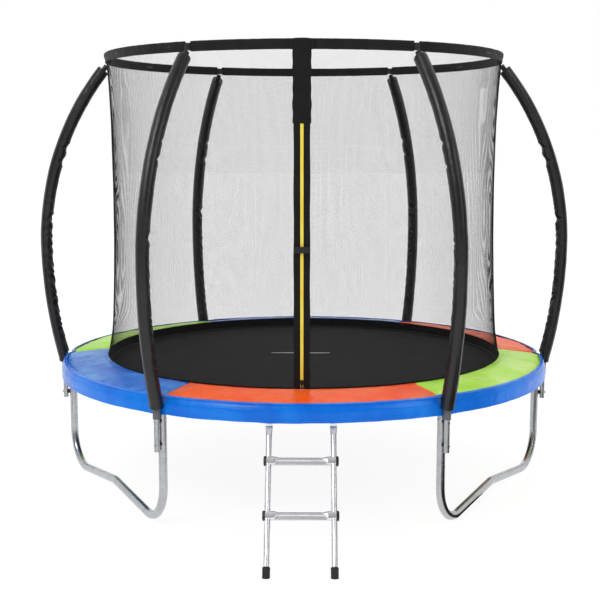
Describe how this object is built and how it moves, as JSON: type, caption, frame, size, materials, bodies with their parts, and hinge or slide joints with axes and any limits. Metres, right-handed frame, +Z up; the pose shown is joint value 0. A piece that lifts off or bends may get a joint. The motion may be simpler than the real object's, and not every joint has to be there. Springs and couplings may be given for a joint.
{
  "type": "trampoline",
  "caption": "Round garden trampoline with bowed foam-covered poles, zipped safety net, coloured pads, sprung mat, W-shaped legs and a hook-on ladder.",
  "frame": {"origin": "on the ground, under the middle of the round frame", "axes": "+Z up, -Y towards the door and the ladder, +X to the right when facing the door"},
  "size_m": [2.712, 2.8712, 2.113],
  "materials": {
    "galvanised_steel": "bright galvanised tube",
    "spring_steel": "zinc plated wire",
    "black_tube": "powder coat",
    "sleeve_vinyl": "wrinkled glossy vinyl over foam",
    "grey_plastic": "matt",
    "black_plastic": "moulded",
    "black_rubber": "matt",
    "fibreglass": "satin",
    "black_webbing": "woven",
    "netting": "fine mesh",
    "zip_yellow": "zip chain",
    "mat_fabric": "woven polypropylene",
    "vinyl_orange": "glossy vinyl",
    "vinyl_blue": "glossy vinyl",
    "vinyl_green": "glossy vinyl"
  },
  "bodies": {
    "root": {"frame_rail_1": "galvanised_steel", "frame_rail_2": "galvanised_steel", "frame_rail_3": "galvanised_steel", "frame_rail_4": "galvanised_steel", "frame_rail_5": "galvanised_steel", "frame_rail_6": "galvanised_steel", "leg_base_left": "galvanised_steel", "leg_base_right": "galvanised_steel", "leg_base_back": "galvanised_steel", "leg_post_1": "galvanised_steel", "leg_post_2": "galvanised_steel", "leg_post_3": "galvanised_steel", "leg_post_4": "galvanised_steel", "leg_post_5": "galvanised_steel", "leg_post_6": "galvanised_steel", "pole_lower": "galvanised_steel", "pole_upper_1": "black_tube", "pole_upper_2": "black_tube", "pole_upper_3": "black_tube", "pole_upper_4": "black_tube", "pole_upper_5": "black_tube", "pole_upper_6": "black_tube", "pole_foam_1": "sleeve_vinyl", "pole_foam_2": "sleeve_vinyl", "pole_foam_3": "sleeve_vinyl", "pole_foam_4": "sleeve_vinyl", "pole_foam_5": "sleeve_vinyl", "pole_foam_6": "sleeve_vinyl", "pole_collars": "grey_plastic", "pole_caps": "black_plastic", "pole_spacers": "black_plastic", "pole_bolts": "galvanised_steel", "socket_screws": "galvanised_steel", "hoop_rods": "fibreglass", "hoop_sleeve": "black_webbing", "net_wall": "netting", "net_hem": "black_webbing", "door_tapes": "black_webbing", "door_zip": "zip_yellow", "door_flap": "black_webbing", "buckle_socket": "black_plastic", "springs": "spring_steel", "pad_front": "vinyl_orange", "pad_front_left": "vinyl_blue", "pad_back_left": "vinyl_green", "pad_back": "vinyl_blue", "pad_back_right": "vinyl_orange", "pad_front_right": "vinyl_green", "skirt": "vinyl_blue", "skirt_front": "vinyl_blue"},
    "mat": {"mat": "mat_fabric", "v_rings": "galvanised_steel"},
    "ladder": {"ladder_rail_left": "galvanised_steel", "ladder_rail_right": "galvanised_steel", "ladder_rung_lower": "galvanised_steel", "ladder_rung_upper": "galvanised_steel", "ladder_feet": "black_rubber", "ladder_caps": "black_plastic"},
    "zip_slider": {"zip_slider": "black_plastic"},
    "buckle_tongue": {"buckle_tongue": "black_plastic"}
  },
  "joints": [
    {"name": "mat_bounce", "type": "slide", "parent": "root", "child": "mat", "axis": [0, 0, -1], "range_m": [0, 0.26], "stiffness_N_per_m": 3500, "springref_m": -0.03, "deforming": ["springs"]},
    {"name": "ladder_swing", "type": "hinge", "parent": "root", "child": "ladder", "pos_m": [0, -1.20054, 0.553], "axis": [-1, 0, 0], "range_deg": [0, 35], "deforming": ["skirt_front"]},
    {"name": "zip_slide", "type": "slide", "parent": "root", "child": "zip_slider", "axis": [0, 0.0143, 0.9999], "range_m": [0, 1.06]},
    {"name": "buckle_release", "type": "slide", "parent": "root", "child": "buckle_tongue", "axis": [1, 0, 0], "range_m": [0, 0.03]}
  ]
}
